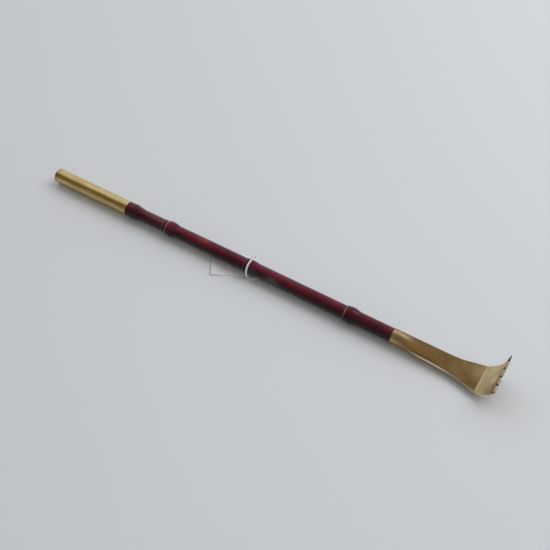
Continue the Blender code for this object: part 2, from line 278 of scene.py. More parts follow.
def make_room():
    """A dim warm room with a wide soft window to the left and a darker patch above the near side."""
    world = bpy.data.worlds.new("room")
    world.use_nodes = True
    tree = world.node_tree
    background = tree.nodes["Background"]
    background.inputs["Color"].default_value = (*ROOM, 1.0)
    where = tree.nodes.new("ShaderNodeTexCoord")
    for colour, direction, edges in (
        (WINDOW, WINDOW_DIRECTION, WINDOW_EDGES),
        (SHADE, SHADE_DIRECTION, SHADE_EDGES),
    ):
        toward = tree.nodes.new("ShaderNodeVectorMath")
        toward.operation = "DOT_PRODUCT"
        toward.inputs[1].default_value = direction.normalized()
        fade = tree.nodes.new("ShaderNodeMapRange")
        fade.interpolation_type = "SMOOTHSTEP"
        fade.inputs["From Min"].default_value = edges[0]
        fade.inputs["From Max"].default_value = edges[1]
        blend = tree.nodes.new("ShaderNodeMix")
        blend.data_type = "RGBA"
        below, above = (socket for socket in blend.inputs if socket.type == "RGBA")
        below.default_value = (*ROOM, 1.0)
        above.default_value = (*colour, 1.0)
        for link in background.inputs["Color"].links:
            tree.links.new(link.from_socket, below)
        tree.links.new(where.outputs["Generated"], toward.inputs[0])
        tree.links.new(toward.outputs["Value"], fade.inputs["Value"])
        tree.links.new(fade.outputs["Result"], blend.inputs["Factor"])
        made = next(socket for socket in blend.outputs if socket.type == "RGBA")
        tree.links.new(made, background.inputs["Color"])
    bpy.context.scene.world = world
    bpy.context.scene.view_settings.view_transform = "Standard"


def make_floor(finish):
    half = FLOOR_SIZE / 2
    mesh = bpy.data.meshes.new("floor")
    mesh.from_pydata(
        [(-half, -half, 0), (half, -half, 0), (half, half, 0), (-half, half, 0)], [], [(0, 1, 2, 3)]
    )
    mesh.materials.append(finish)
    floor = bpy.data.objects.new("floor", mesh)
    bpy.context.scene.collection.objects.link(floor)


# ---------------------------------------------------------------- materials


class Finish:
    """A material with a Principled shader, and short calls for the nodes before it."""

    def __init__(self, name, **values):
        self.material = bpy.data.materials.new(name)
        self.material.use_nodes = True
        self.tree = self.material.node_tree
        self.shader = self.tree.nodes["Principled BSDF"]
        for socket, value in values.items():
            self.shader.inputs[socket.replace("_", " ")].default_value = value
        self.where = self.add("ShaderNodeTexCoord").outputs["Object"]

    def add(self, kind, **settings):
        node = self.tree.nodes.new(kind)
        for name, value in settings.items():
            setattr(node, name, value)
        return node

    def feed(self, socket, value):
        if isinstance(value, bpy.types.NodeSocket):
            self.tree.links.new(value, socket)
        else:
            socket.default_value = value

    def stretched(self, x, y, z):
        """The place on the object, scaled by its own factor along each axis."""
        node = self.add("ShaderNodeMapping")
        self.feed(node.inputs["Vector"], self.where)
        node.inputs["Scale"].default_value = (x, y, z)
        return node.outputs["Vector"]

    def noise(self, scale, detail=3.0, roughness=0.5, at=None):
        node = self.add("ShaderNodeTexNoise")
        self.feed(node.inputs["Vector"], at or self.where)
        node.inputs["Scale"].default_value = scale
        node.inputs["Detail"].default_value = detail
        node.inputs["Roughness"].default_value = roughness
        return node.outputs["Fac"]

    def spread(self, value, low, high, to_low=0.0, to_high=1.0):
        """value from low to high, as a smooth step from to_low to to_high."""
        node = self.add("ShaderNodeMapRange", interpolation_type="SMOOTHSTEP")
        self.feed(node.inputs["Value"], value)
        node.inputs["From Min"].default_value = low
        node.inputs["From Max"].default_value = high
        node.inputs["To Min"].default_value = to_low
        node.inputs["To Max"].default_value = to_high
        return node.outputs["Result"]

    def math(self, operation, a, b=0.0):
        node = self.add("ShaderNodeMath", operation=operation)
        self.feed(node.inputs[0], a)
        self.feed(node.inputs[1], b)
        return node.outputs["Value"]

    def mix(self, factor, a, b):
        """Colour a at factor 0 and colour b at 1."""
        node = self.add("ShaderNodeMix", data_type="RGBA")
        self.feed(node.inputs["Factor"], factor)
        for name, value in (("A", a), ("B", b)):
            socket = [s for s in node.inputs if s.name == name and s.type == "RGBA"][0]
            self.feed(socket, value if isinstance(value, bpy.types.NodeSocket) else (*value, 1.0))
        return [s for s in node.outputs if s.type == "RGBA"][0]

    def axis(self, name):
        node = self.add("ShaderNodeSeparateXYZ")
        self.feed(node.inputs["Vector"], self.where)
        return node.outputs[name]

    def mark(self, name):
        """A number that the mesh keeps at each of its points."""
        return self.add("ShaderNodeAttribute", attribute_name=name).outputs["Fac"]

    def bump(self, height, distance, strength=1.0):
        node = self.add("ShaderNodeBump")
        node.inputs["Strength"].default_value = strength
        node.inputs["Distance"].default_value = distance
        self.feed(node.inputs["Height"], height)
        return node.outputs["Normal"]

    def done(self, **outputs):
        for socket, value in outputs.items():
            self.feed(self.shader.inputs[socket.replace("_", " ")], value)
        return self.material


def floor_finish():
    finish = Finish("pale_floor", Roughness=0.75)
    cloud = finish.noise(1.6, 2.0)
    colour = finish.mix(cloud, (0.84, 0.865, 0.895), (0.88, 0.905, 0.935))
    return finish.done(Base_Color=colour)


def polished_brass():
    """Drawn tube, polished along its length, with handling marks and a tint by the soldered end."""
    finish = Finish("polished_brass", Metallic=1.0)
    broad = finish.noise(55.0, 4.0)
    streaks = finish.noise(1100.0, 3.0, at=finish.stretched(0.02, 1.0, 1.0))
    specks = finish.noise(1500.0, 3.0)
    colour = finish.mix(finish.spread(broad, 0.35, 0.7), (0.72, 0.56, 0.255), (0.62, 0.46, 0.185))
    colour = finish.mix(finish.spread(streaks, 0.42, 0.62, 0.0, 0.75), colour, (0.42, 0.285, 0.10))
    colour = finish.mix(finish.spread(specks, 0.62, 0.72, 0.0, 0.5), colour, (0.40, 0.25, 0.11))
    from_end = finish.math("SUBTRACT", finish.axis("X"), REAR_END)
    uneven = finish.math("ADD", from_end, finish.math("MULTIPLY", broad, 0.006))
    tint = finish.spread(uneven, 0.011, 0.003)
    colour = finish.mix(finish.math("MULTIPLY", tint, 0.80), colour, (0.46, 0.27, 0.20))
    rough = finish.math(
        "ADD",
        finish.spread(streaks, 0.35, 0.75, 0.12, 0.26),
        finish.spread(specks, 0.55, 0.75, 0.0, 0.10),
    )
    normal = finish.bump(streaks, 0.00005)
    return finish.done(Base_Color=colour, Roughness=rough, Normal=normal)


def worn_brass():
    """Hand-worked brass: duller and browner, brown inside the lip, with painted shade on the flat and
    painted highlights, partly wear, on its edges.
    """
    finish = Finish("worn_brass", Specular_IOR_Level=0.25, Specular_Tint=(1.0, 0.88, 0.60, 1.0))
    broad = finish.noise(70.0, 4.0)
    fine = finish.noise(420.0, 5.0, 0.6)
    scratches = finish.noise(300.0, 5.0, at=finish.stretched(0.12, 1.0, 1.0))
    colour = finish.mix(finish.spread(broad, 0.3, 0.7), (0.46, 0.355, 0.205), (0.39, 0.290, 0.155))
    colour = finish.mix(finish.spread(fine, 0.55, 0.8, 0.0, 0.35), colour, (0.33, 0.235, 0.125))
    # Painted shade: the flat and the lip's near foot are darker brown and less metallic, standing in
    # for the dim room they reflect
    flat_shade = finish.math("MULTIPLY", finish.mark("flat_shade"), finish.spread(broad, 0.1, 0.6, 0.8, 1.0))
    shade_brown = finish.mix(finish.spread(fine, 0.35, 0.7), (0.175, 0.101, 0.033), (0.141, 0.080, 0.026))
    colour = finish.mix(flat_shade, colour, shade_brown)
    # Painted light: a lighter patch on the near side of the neck
    colour = finish.mix(finish.mark("neck_light"), colour, (0.46, 0.26, 0.085))
    patina = finish.math("MULTIPLY", finish.mark("patina"), finish.spread(fine, 0.2, 0.6, 0.6, 1.0))
    colour = finish.mix(patina, colour, (0.22, 0.115, 0.080))
    # Painted highlights, partly wear, on the near edge, the crease, the lip and its palm
    bright = finish.mark("bright")
    colour = finish.mix(bright, colour, (0.97, 0.85, 0.61))
    # Painted shade in the notches and on the far sliver of a tooth
    colour = finish.mix(finish.mark("tooth_shade"), colour, (0.045, 0.030, 0.028))
    rough = finish.math(
        "ADD",
        finish.spread(scratches, 0.3, 0.75, 0.27, 0.38),
        finish.math("MULTIPLY", finish.math("ADD", finish.math("ADD", patina, bright), flat_shade), 0.24),
    )
    metal = finish.spread(flat_shade, 0.0, 1.0, 1.0, 0.32)
    normal = finish.bump(finish.math("ADD", scratches, finish.math("MULTIPLY", fine, 0.5)), 0.00002)
    return finish.done(Base_Color=colour, Metallic=metal, Roughness=rough, Normal=normal)


def cut_brass():
    """The teeth's filed edges, bright and cross-scratched."""
    finish = Finish("cut_brass", Metallic=1.0)
    file_marks = finish.noise(900.0, 3.0, at=finish.stretched(1.0, 0.15, 1.0))
    colour = finish.mix(finish.spread(file_marks, 0.35, 0.7), (1.0, 0.93, 0.74), (0.85, 0.70, 0.46))
    # Painted shade in the notches
    colour = finish.mix(finish.mark("tooth_shade"), colour, (0.045, 0.030, 0.028))
    rough = finish.spread(file_marks, 0.3, 0.7, 0.45, 0.62)
    return finish.done(Base_Color=colour, Roughness=rough, Normal=finish.bump(file_marks, 0.00004))


def lacquered_bamboo():
    """Bamboo under a deep red lacquer with fibres below it, painted nearly black round its sides and
    below as painted shade.
    """
    finish = Finish("lacquered_bamboo", Coat_Weight=1.0, Coat_Roughness=0.05, Coat_IOR=1.23, IOR=1.2)
    fibres = finish.noise(900.0, 4.0, at=finish.stretched(0.035, 1.0, 1.0))
    cloud = finish.noise(60.0, 3.0, at=finish.stretched(0.35, 1.0, 1.0))
    pools = finish.noise(230.0, 3.0, at=finish.stretched(0.25, 1.0, 1.0))
    red = finish.mix(finish.spread(cloud, 0.32, 0.68), (0.092, 0.006, 0.021), (0.178, 0.012, 0.028))
    red = finish.mix(finish.mark("glow"), red, (0.25, 0.026, 0.012))
    red = finish.mix(finish.spread(fibres, 0.5, 0.8, 0.0, 0.55), red, (0.055, 0.003, 0.012))
    height = finish.math("SUBTRACT", finish.axis("Z"), AXIS_HEIGHT)
    facing = finish.math(
        "ADD",
        finish.math("MULTIPLY", height, RED_UP / RED_RADIUS),
        finish.math("MULTIPLY", finish.axis("Y"), RED_BACK / RED_RADIUS),
    )
    ragged = finish.math("MULTIPLY", finish.math("SUBTRACT", pools, 0.5), 0.9)
    facing = finish.math("ADD", facing, ragged)
    # Painted shade: the colour goes near black where the shaft faces down and towards the near side
    dark = finish.spread(facing, 0.85, -0.10)
    colour = finish.mix(dark, red, (0.020, 0.007, 0.010))
    scuff = finish.math("MULTIPLY", finish.mark("scuff"), finish.spread(pools, 0.25, 0.50))
    colour = finish.mix(scuff, colour, (0.105, 0.078, 0.082))
    # Painted reflection: greyish streaks along the top
    sheen_streaks = finish.math("MULTIPLY", finish.mark("sheen_streaks"), finish.spread(fibres, 0.30, 0.60))
    colour = finish.mix(sheen_streaks, colour, (0.110, 0.050, 0.062))
    # Painted shade beside the scars, and darker stretches
    colour = finish.mix(finish.mark("shade"), colour, (0.022, 0.003, 0.006))
    # Painted highlights on the sheath scars, over a faint pale ring
    colour = finish.mix(finish.mark("scar"), colour, (0.62, 0.40, 0.38))
    rough = finish.spread(fibres, 0.3, 0.7, 0.28, 0.42)
    normal = finish.bump(fibres, 0.00003)
    return finish.done(Base_Color=colour, Roughness=rough, Normal=normal)


def card():
    """Blank coated card, with a faint tooth and cooler and warmer patches."""
    finish = Finish("tag_card", Roughness=0.62)
    cloud = finish.noise(120.0, 3.0)
    tooth = finish.noise(4000.0, 4.0)
    colour = finish.mix(cloud, (0.93, 0.925, 0.97), (0.88, 0.875, 0.93))
    colour = finish.mix(finish.spread(tooth, 0.55, 0.8, 0.0, 0.3), colour, (0.76, 0.76, 0.82))
    # Painted shadow: a grey line along the tag's lifted free end
    colour = finish.mix(finish.mark("edge_shadow"), colour, (0.26, 0.26, 0.29))
    return finish.done(Base_Color=colour, Normal=finish.bump(tooth, 0.00001))


def cotton():
    """White cotton, with fuzz, and painted shade making the hollows between its strands slightly
    greyer.
    """
    finish = Finish("cotton_string", Roughness=0.9, Sheen_Weight=0.8, Sheen_Roughness=0.4)
    fuzz = finish.noise(6000.0, 4.0, 0.7)
    colour = finish.mix(finish.spread(fuzz, 0.35, 0.7), (0.93, 0.95, 0.98), (0.97, 0.985, 1.0))
    # Painted shade in the hollows between strands
    colour = finish.mix(finish.mark("hollow"), colour, (0.78, 0.80, 0.83))
    return finish.done(Base_Color=colour, Normal=finish.bump(fuzz, 0.00004))


# ---------------------------------------------------------------- mesh helpers


def make_piece(name, points, faces, finishes, marks=None, finish_index=None, sharp=35):
    """A closed piece from points and faces, with numbers kept at its points for its material."""
    mesh = bpy.data.meshes.new(name)
    mesh.from_pydata([tuple(p) for p in points], [], faces)
    for mark, values in (marks or {}).items():
        kept = mesh.attributes.new(mark, "FLOAT", "POINT")
        kept.data.foreach_set("value", np.array(values, np.float32))
    for finish in finishes:
        mesh.materials.append(finish)
    if finish_index is not None:
        mesh.polygons.foreach_set("material_index", np.array(finish_index, np.int32))
    maker = bmesh.new()
    maker.from_mesh(mesh)
    bmesh.ops.recalc_face_normals(maker, faces=maker.faces)
    maker.to_mesh(mesh)
    maker.free()
    mesh.shade_smooth()
    mesh.set_sharp_from_angle(angle=math.radians(sharp))
    made = bpy.data.objects.new(name, mesh)
    bpy.context.scene.collection.objects.link(made)
    return made


def stand_for(piece, node):
    """The piece rides on the body in the place of its CAD node, which is hidden."""
    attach(piece, "root")
    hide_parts(node)
    return piece


def between(first, second, count):
    """Quads between two rings of the same number of points."""
    return [
        (first + i, first + (i + 1) % count, second + (i + 1) % count, second + i) for i in range(count)
    ]


def turned(name, profile, finish, node, marks=None, shape=None):
    """A piece turned about the shaft's axis from (station, radius) points, solid or a ring.

    A profile that starts on the axis also ends there. Each of the marks, and shape, which adds to
    the radius, is a function of the station and of the angle from the top.
    """
    points = []
    faces = []
    kept = {mark: [] for mark in marks or {}}
    starts = []
    for station, radius in profile:
        starts.append(len(points))
        count = AROUND if radius > 0 else 1
        for k in range(count):
            angle = 2 * math.pi * k / AROUND
            real = radius + (shape(station, angle) if shape and radius > 0 else 0.0)
            points.append(place(station, real * math.sin(angle), AXIS_HEIGHT + real * math.cos(angle)))
            for mark, reading in (marks or {}).items():
                kept[mark].append(reading(station, angle))
    pairs = list(zip(range(len(profile)), range(1, len(profile))))
    if profile[0][1] > 0:
        pairs.append((len(profile) - 1, 0))
    for a, b in pairs:
        if profile[a][1] > 0 and profile[b][1] > 0:
            faces += between(starts[a], starts[b], AROUND)
        else:
            tip, ring = (starts[a], starts[b]) if profile[a][1] == 0 else (starts[b], starts[a])
            faces += [(tip, ring + i, ring + (i + 1) % AROUND) for i in range(AROUND)]
    stand_for(make_piece(name, points, faces, [finish], kept), node)


# ---------------------------------------------------------------- string, knot and tag


def smooth_route(points, count):
    """Evenly spaced points on a smooth curve through the given ones."""
    knots = [Vector(p) for p in points]
    ends = [knots[0] * 2 - knots[1], *knots, knots[-1] * 2 - knots[-2]]
    fine = []
    for p0, p1, p2, p3 in zip(ends, ends[1:], ends[2:], ends[3:]):
        for t in np.linspace(0, 1, 16, endpoint=False):
            fine.append(
                0.5 * (2 * p1 + (p2 - p0) * t + (2 * p0 - 5 * p1 + 4 * p2 - p3) * t**2
                       + (3 * p1 - p0 - 3 * p2 + p3) * t**3)
            )
    fine.append(knots[-1])
    steps = [0.0]
    for a, b in zip(fine, fine[1:]):
        steps.append(steps[-1] + (b - a).length)
    at = np.linspace(0, steps[-1], count)
    axes = [np.interp(at, steps, [p[k] for p in fine]) for k in range(3)]
    return [Vector(p) for p in zip(*axes)]


def twisted_tube(path, body, strands, pitch, sides=24):
    """Points, faces and hollows of a string of twisted strands, whose radius at a point body says."""
    points, faces, hollows = [], [], []
    side = (path[1] - path[0]).orthogonal().normalized()
    run = 0.0
    for i, at in enumerate(path):
        ahead = (path[min(i + 1, len(path) - 1)] - path[max(i - 1, 0)]).normalized()
        side = (side - ahead * side.dot(ahead)).normalized()
        other = ahead.cross(side)
        if i:
            run += (at - path[i - 1]).length
        taper = 0.75 if i in (0, len(path) - 1) else 1.0
        for k in range(sides):
            angle = 2 * math.pi * k / sides
            lobe = abs(math.cos(strands * (angle - 2 * math.pi * run / pitch) / 2))
            reach = body(at) * taper * (0.86 + 0.24 * math.sqrt(lobe))
            points.append(at + (side * math.cos(angle) + other * math.sin(angle)) * reach)
            points[-1].z = max(points[-1].z, REST)
            # Painted shade: how grey the hollow between strands is painted
            hollows.append(max(0.0, 1 - lobe * 2.2))
    for i in range(len(path) - 1):
        faces += between(i * sides, (i + 1) * sides, sides)
    faces.append(tuple(range(sides)))
    faces.append(tuple((len(path) - 1) * sides + k for k in range(sides)))
    return points, faces, hollows


def make_string(finish):
    route = [place(BAMBOO_START + s, y, z) for s, y, z in STRING_ROUTE]
    path = smooth_route(route, STRING_POINTS)

    def body(at):
        """The string is pressed thin below the shaft and fuller where it hangs free."""
        return STRING_BODY + (STRING_FULL - STRING_BODY) * eased(at.z, 0.0015, 0.0060)

    points, faces, hollows = twisted_tube(path, body, STRANDS, TWIST_PITCH)
    string = make_piece("string", points, faces, [finish], {"hollow": hollows}, sharp=80)
    return stand_for(string, "tag_string"), path


def make_knot(finish):
    """An overhand knot of the same string, pulled tight, with two short cut ends."""
    middle = place(*KNOT)
    path = []
    for t in np.linspace(0, 2 * math.pi, KNOT_POINTS, endpoint=False):
        x = (math.sin(t) + 2 * math.sin(2 * t)) / 3.2
        y = (math.cos(t) - 2 * math.cos(2 * t)) / 3.2
        z = -math.sin(3 * t) / 1.7
        path.append(middle + Vector((x, y, z)) * KNOT_REACH)
    path = path[KNOT_OPENS:] + path[:1]
    out_a = (path[0] - middle).normalized()
    out_b = (path[-1] - middle).normalized()
    path = [path[0] + out_a * KNOT_TAIL, *path, path[-1] + out_b * KNOT_TAIL]
    points, faces, hollows = twisted_tube(path, lambda at: KNOT_BODY, STRANDS, TWIST_PITCH, 18)
    knot = make_piece("knot", points, faces, [finish], {"hollow": hollows}, sharp=80)
    return stand_for(knot, "string_knot")


def tag_height(along, y):
    """How high the tag's underside is: a hump over the string, and a curl at the free end."""
    hump = TAG_LIFT * (eased(y, *TAG_RISE) - eased(y, *TAG_FALL))
    curl = TAG_CURL * (1 - eased(along, 0.0, 0.45 * TAG_LENGTH)) ** 2
    return hump + curl


def make_tag(finish):
    """The blank card tag, clipped at two corners, with a punched hole."""
    rows, columns = 48, 72
    along = Vector((math.cos(TAG_TURN), math.sin(TAG_TURN)))
    back = Vector((-math.sin(TAG_TURN), math.cos(TAG_TURN)))
    corner = Vector(TAG_CORNER)
    points, faces, edge_shadow = [], [], []
    for i in range(rows + 1):
        across = TAG_WIDTH * i / rows
        clip = max(0.0, TAG_CLIP - across, TAG_CLIP - (TAG_WIDTH - across))
        for j in range(columns + 1):
            run = (TAG_LENGTH - clip) * j / columns
            at = corner + along * run + back * across
            points.append(place(at.x, at.y, tag_height(run, at.y)))
            # Painted shadow along the free end, which stands off the floor
            edge_shadow.append(0.9 * bell(j * TAG_LENGTH / columns, 0.0, EDGE_SHADOW_WIDTH))
    for i in range(rows):
        for j in range(columns):
            a = i * (columns + 1) + j
            faces.append((a, a + 1, a + columns + 2, a + columns + 1))
    tag = make_piece("tag", points, faces, [finish], {"edge_shadow": edge_shadow})
    solidify = tag.modifiers.new("thickness", "SOLIDIFY")
    solidify.thickness = TAG_THICKNESS
    up = tag.data.polygons[0].normal.z > 0
    solidify.offset = 1.0 if up else -1.0
    hole_at = corner + along * (TAG_LENGTH - TAG_HOLE_INSET) + back * (TAG_WIDTH / 2)
    maker = bmesh.new()
    bmesh.ops.create_cone(
        maker, cap_ends=True, segments=48, radius1=TAG_HOLE_RADIUS, radius2=TAG_HOLE_RADIUS, depth=0.01
    )
    bmesh.ops.translate(maker, verts=maker.verts, vec=place(hole_at.x, hole_at.y, 0.0))
    cutter_mesh = bpy.data.meshes.new("hole_cutter")
    maker.to_mesh(cutter_mesh)
    maker.free()
    cutter = bpy.data.objects.new("hole_cutter", cutter_mesh)
    bpy.context.scene.collection.objects.link(cutter)
    cut = tag.modifiers.new("hole", "BOOLEAN")
    cut.operation = "DIFFERENCE"
    cut.object = cutter
    evaluated = tag.evaluated_get(bpy.context.evaluated_depsgraph_get())
    flat = bpy.data.meshes.new_from_object(evaluated)
    tag.modifiers.clear()
    tag.data = flat
    bpy.data.objects.remove(cutter)
    return stand_for(tag, "swing_tag")


# ---------------------------------------------------------------- cap


def make_cap(finish):
    """The tube and the end disc, each with its edges broken."""
    inner = TUBE_RADIUS - WALL
    start = DISC_THICKNESS + GAP / 4
    end = CAP_LENGTH - GAP / 4
    stations = np.linspace(start + RIM, end - RIM, 60)
    profile = [(start, TUBE_RADIUS - RIM)]
    profile += [(s, TUBE_RADIUS) for s in stations]
    profile += [(end, TUBE_RADIUS - RIM), (end, inner), (start, inner)]
    turned("cap_tube_shell", profile, finish, "cap_tube")
    rounding = [
        (DISC_ROUNDING * (1 - math.sin(a)), TUBE_RADIUS - DISC_ROUNDING * (1 - math.cos(a)))
        for a in np.linspace(math.pi / 2, 0, 12)
    ]
    back = DISC_THICKNESS + SPIGOT_LENGTH
    profile = [(0.0, 0.0)]
    profile += [(0.0, r) for r in (0.0015, 0.003, 0.0045)]
    profile += rounding
    profile += [
        (DISC_THICKNESS - RIM / 2, TUBE_RADIUS),
        (DISC_THICKNESS, TUBE_RADIUS - RIM / 2),
        (DISC_THICKNESS, inner - GAP),
        (back, inner - GAP),
        (back, 0.0),
    ]
    turned("cap_disc", profile, finish, "cap_end_disc")


# ---------------------------------------------------------------- bamboo


def bamboo_radius(at):
    """The shaft's radius at a distance from the cap: internode, nodal ridges and scars."""
    stations, radii = zip(*INTERNODE_RADIUS)
    plain = np.interp(at, stations, radii)
    radius = plain
    for scar, ridge, ridge_radius, half_length in NODES:
        away = min(1.0, abs(at - ridge) / half_length)
        swell = (0.5 + 0.5 * math.cos(math.pi * away)) ** 0.8
        radius = max(radius, plain + (ridge_radius - plain) * swell)
        beside = abs(at - scar) / SCAR_HALF_LENGTH
        if beside < 1:
            radius += SCAR_HEIGHT * (1 - beside)
    return radius


def stripe(angle, middle, width):
    """A bell round the shaft, whole on both sides of its top."""
    return bell(math.remainder(angle - middle, 2 * math.pi), 0.0, width)


def shaft_shape(station, angle):
    """Shallow hollows, flutes, steps and a groove, always inwards."""
    broad = noise.noise(Vector((station * 30, math.sin(angle) * 0.8, math.cos(angle) * 0.8)))
    flutes = noise.noise(Vector((station * 8, math.sin(angle) * 2.6, math.cos(angle) * 2.6)))
    wander = 0.00009 * (0.5 + 0.5 * broad) + 0.00005 * (0.5 + 0.5 * flutes)
    if station <= BAMBOO_START:
        return -wander
    start, deepest, end = SHOULDER
    shoulder = eased(station, start, deepest) * (1 - eased(station, deepest, end))
    steps = STEP_DEPTH * bell(station, *COLLAR) + STEP_DEPTH * shoulder
    return -wander - steps - GROOVE_DEPTH * bell(station, *GROOVE)


def scar_highlights(station, angle):
    """Sheath scars, faintly pale all round and painted pale on top as painted highlights."""
    ring = sum(highlight * bell(station, at, SCAR_HIGHLIGHT_WIDTH) for at, highlight in SCAR_HIGHLIGHTS)
    patchy = 0.7 + 0.6 * noise.noise(Vector((station * 9, 2 * math.sin(angle), 2 * math.cos(angle))))
    return min(1.0, ring * (0.10 + 0.90 * stripe(angle, SCAR_HIGHLIGHT_ANGLE, 0.62) * patchy))


def dark_rings(station, angle):
    """Painted shade beside the scars, and darker lacquer along three stretches."""
    rings = sum(dark * bell(station, at, DARK_RING_WIDTH) for at, dark in DARK_RINGS)
    stretches = sum(dark * bell(station, at, length) for at, dark, length in DARK_STRETCHES)
    return min(0.9, rings + stretches)


def glow(station, angle):
    """Where the lacquer is thin and orange."""
    return sum(strength * bell(station, at, length) for at, strength, length in GLOWS)


def scuff(station, angle):
    """Dull grey rubs low on the near side."""
    patches = sum(strength * bell(station, at, length) for at, strength, length in SCUFFS)
    return min(1.0, bell(angle, SCUFF_ANGLE, 0.55) * patches)


def sheen_streaks(station, angle):
    """Painted reflections: greyish streaks along the top of the first internode, and just past the
    second node.
    """
    line = stripe(angle, -0.10, 0.20)
    second = 0.7 * stripe(angle, -0.32, 0.12)
    first_internode = eased(station, *SHEEN_STARTS) * (1 - eased(station, *SHEEN_ENDS))
    return min(1.0, (line + second) * first_internode + 0.8 * second * bell(station, *SHEEN_PATCH))


def make_bamboo(finish):
    """The lacquered shaft, with its nodes, sheath scars and the tenons inside the brass."""
    rear = BAMBOO_START - REAR_TENON
    front = HEAD_START + FRONT_TENON
    profile = [
        (rear + PITH_DEPTH, 0.0),
        (rear + PITH_DEPTH, PITH_RADIUS),
        (rear, PITH_RADIUS),
        (rear, TENON_RADIUS - TENON_CHAMFER),
        (rear + TENON_CHAMFER, TENON_RADIUS),
        (BAMBOO_START, TENON_RADIUS),
    ]
    profile += [(BAMBOO_START + s, bamboo_radius(s)) for s in np.arange(0.0, BAMBOO_LENGTH, 0.0004)]
    profile += [
        (HEAD_START, bamboo_radius(BAMBOO_LENGTH)),
        (HEAD_START, TENON_RADIUS),
        (front - TENON_CHAMFER, TENON_RADIUS),
        (front, TENON_RADIUS - TENON_CHAMFER),
        (front, PITH_RADIUS),
        (front - PITH_DEPTH, PITH_RADIUS),
        (front - PITH_DEPTH, 0.0),
    ]
    marks = {"scar": scar_highlights, "shade": dark_rings, "glow": glow, "scuff": scuff, "sheen_streaks": sheen_streaks}
    turned("shaft", profile, finish, "bamboo_shaft", marks, shaft_shape)


# ---------------------------------------------------------------- head


def smooth(table, column, at):
    """A column of a table of stations, read between its rows along a smooth curve."""
    stations = np.array([row[0] for row in table])
    values = np.array([row[column] for row in table])
    slopes = np.gradient(values, stations)
    i = int(np.clip(np.searchsorted(stations, at) - 1, 0, len(stations) - 2))
    step = stations[i + 1] - stations[i]
    t = (np.clip(at, stations[0], stations[-1]) - stations[i]) / step
    return float(
        values[i] * (1 + 2 * t) * (1 - t) ** 2
        + slopes[i] * step * t * (1 - t) ** 2
        + values[i + 1] * t * t * (3 - 2 * t)
        + slopes[i + 1] * step * t * t * (t - 1)
    )


def head_columns():
    """Shares of the half width for the head's columns: on each cut and tip, and dense on the folds."""
    marks = sorted((-1.0, *CUTS, *TIPS, 1.0))
    columns = set()
    for a, b in zip(marks, marks[1:]):
        steps = max(2, round((b - a) / 0.033))
        columns.update(round(a + (b - a) * k / steps, 5) for k in range(steps + 1))
    for t in np.linspace(0, 1, 9):
        columns.update((round(1 - FOLD_SHARE * t * t, 5), round(FOLD_SHARE * t * t - 1, 5)))
    return sorted(columns)


def section_point(share, side, half_width, half_height, flatness):
    """A point of the head's section, from its middle: share runs across it, and side is 1 on top."""
    angle = share * math.pi / 2
    edge = min(1.0, math.sqrt(max(0.0, (1 - abs(share)) / FOLD_SHARE)))
    across = half_width * ((1 - flatness) * math.sin(angle) + flatness * share)
    up = half_height * ((1 - flatness) * math.cos(angle) + flatness * edge)
    return across, side * up


def lip_point(along, across, off):
    """A point of the lip: distance along its sheet from the crease, across it, and off its middle."""
    angle = LIP_START + along / LIP_RADIUS
    reach = LIP_RADIUS * (math.sin(angle) - math.sin(LIP_START))
    rise = LIP_RADIUS * (math.cos(LIP_START) - math.cos(angle))
    twist = across * min(1.0, along / LIP_TWIST_LENGTH)
    return place(
        CREASE + reach - off * math.sin(angle) - twist * LIP_YAW,
        across,
        CREASE_HEIGHT + rise + off * math.cos(angle) + twist * LIP_ROLL,
    )


def tooth_edge(share):
    """How far along the lip its toothed edge is, at a share of its half width."""
    marks = sorted([(c, LIP_LENGTH - TOOTH_DEPTH) for c in CUTS] + [(t, LIP_LENGTH) for t in TIPS])
    shares, edges = zip(*marks)
    return float(np.interp(share, shares, edges))


def dent(run, across):
    """How far the hammered sheet stands off its true surface."""
    broad = noise.noise(Vector((run * 75, across * 75, 3.1)))
    fine = noise.noise(Vector((run * 260, across * 260, 8.7)))
    return 0.00007 * broad + 0.000015 * fine


def bead(away):
    """The raised line that the bending tool left along the crease."""
    return BEAD_HEIGHT * (0.5 + 0.5 * math.cos(2 * math.pi * min(0.5, abs(away) / BEAD_WIDTH)))


def head_ring(columns, at, wall=0.0, trim=0.0):
    """A ring of the socket or the flattened tube, from edge to edge on top and back below."""
    half_width, half_height, middle, flatness = (smooth(HEAD_SECTIONS, k, at) for k in range(1, 5))
    half_width -= wall + trim
    half_height = max(half_height - wall - trim, CAVITY_SLIT)
    if wall and at == CAVITY_END:
        half_height = CAVITY_SLIT
    outside = 0.0 if wall else 1.0
    worked = outside * eased(at, 0.014, 0.040) * (1 - eased(at, FLAT_LENGTH - 0.004, FLAT_LENGTH))
    ring = []
    for side, shares in ((1, columns), (-1, columns[-2:0:-1])):
        for share in shares:
            y, z = section_point(share, side, half_width, half_height, flatness)
            raised = worked * dent(at, y) + (bead(at - FLAT_LENGTH) if side > 0 and not wall else 0.0)
            ring.append(place(HEAD_START + at, y, middle + z + raised))
    return ring


def lip_ring(columns, share_of_way, thickness, back_off):
    """A ring of the lip at a share of the way from the crease to the teeth's edges."""
    ring = []
    for side, shares in ((1, columns), (-1, columns[-2:0:-1])):
        for share in shares:
            along = (tooth_edge(share) - back_off) * share_of_way
            half_width = smooth(LIP_HALF_WIDTHS, 1, along)
            across, off = section_point(share, side, half_width, thickness / 2, 1.0)
            worked = eased(along, 0.0, 0.004) * (1 - eased(along, 0.020, 0.028))
            raised = worked * dent(FLAT_LENGTH + along, across) + (bead(along) if side > 0 else 0.0)
            ring.append(lip_point(along, across, off + raised))
    return ring


